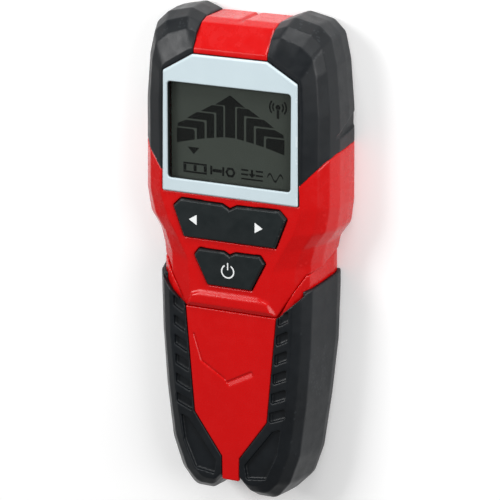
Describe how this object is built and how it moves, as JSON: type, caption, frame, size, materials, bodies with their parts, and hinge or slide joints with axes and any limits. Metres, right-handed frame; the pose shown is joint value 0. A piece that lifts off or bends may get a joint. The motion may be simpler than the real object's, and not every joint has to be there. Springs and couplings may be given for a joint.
{
  "type": "stud finder",
  "caption": "Hand-held wall scanner with a waisted two-tone case, recessed display, rocker and power keys, ribbed rubber grips and a hinged battery cover.",
  "frame": {"origin": "middle of the flat back, on the plane that slides over the wall", "axes": "+Z out of the display, +Y towards the sensing nose, +X to the right as the display is read"},
  "size_m": [0.072, 0.1699, 0.0248],
  "materials": {
    "red_shell": "glossy injection-moulded ABS",
    "rubber": "matt overmoulded thermoplastic rubber",
    "bezel_grey": "satin pale grey",
    "lens": "clear acrylic window",
    "lcd_glass": "reflective segment display",
    "white_guide": "milky light guide",
    "dark_plastic": "fine-grained black plastic",
    "key_rubber": "smooth keypad rubber",
    "circuit_board": "green solder mask",
    "copper": "bare copper",
    "steel": "zinc-plated steel",
    "battery_skin": "printed steel can",
    "lead_red": "PVC insulation",
    "lead_black": "PVC insulation",
    "elastomer": "conductive elastomer strip"
  },
  "bodies": {
    "housing": {"front_shell": "red_shell", "handle_shell": "red_shell", "lower_panel": "red_shell", "rear_shell": "dark_plastic", "bumper_left": "rubber", "bumper_right": "rubber", "grip_left": "rubber", "grip_right": "rubber", "bezel": "bezel_grey", "display_lens": "lens", "lcd_panel": "lcd_glass", "backlight_guide": "white_guide", "zebra_strips": "elastomer", "tact_switches": "dark_plastic", "main_board": "circuit_board", "sensor_board": "circuit_board", "sensor_plates": "copper", "coil_former": "white_guide", "sensing_coil": "copper", "board_connector": "dark_plastic", "controller_chip": "dark_plastic", "buzzer": "dark_plastic", "battery": "battery_skin", "battery_snap": "dark_plastic", "battery_lead_red": "lead_red", "battery_lead_black": "lead_black", "case_screws": "steel", "board_screws": "steel"},
    "arrow_rocker": {"arrow_rocker": "key_rubber"},
    "power_button": {"power_button": "key_rubber"},
    "battery_door": {"battery_door": "dark_plastic"}
  },
  "joints": [
    {"name": "arrow_rock", "type": "hinge", "parent": "housing", "child": "arrow_rocker", "pos_m": [0, 0.0144, 0.0209], "axis": [0, 1, 0], "range_deg": [-2.5, 2.5], "stiffness_Nm_per_rad": 0.4},
    {"name": "power_press", "type": "slide", "parent": "housing", "child": "power_button", "axis": [0, 0, -1], "range_m": [0, 0.0006], "stiffness_N_per_m": 2500},
    {"name": "door_swing", "type": "hinge", "parent": "housing", "child": "battery_door", "pos_m": [0, -0.072, 0.00125], "axis": [-1, 0, 0], "range_deg": [0, 85]}
  ]
}
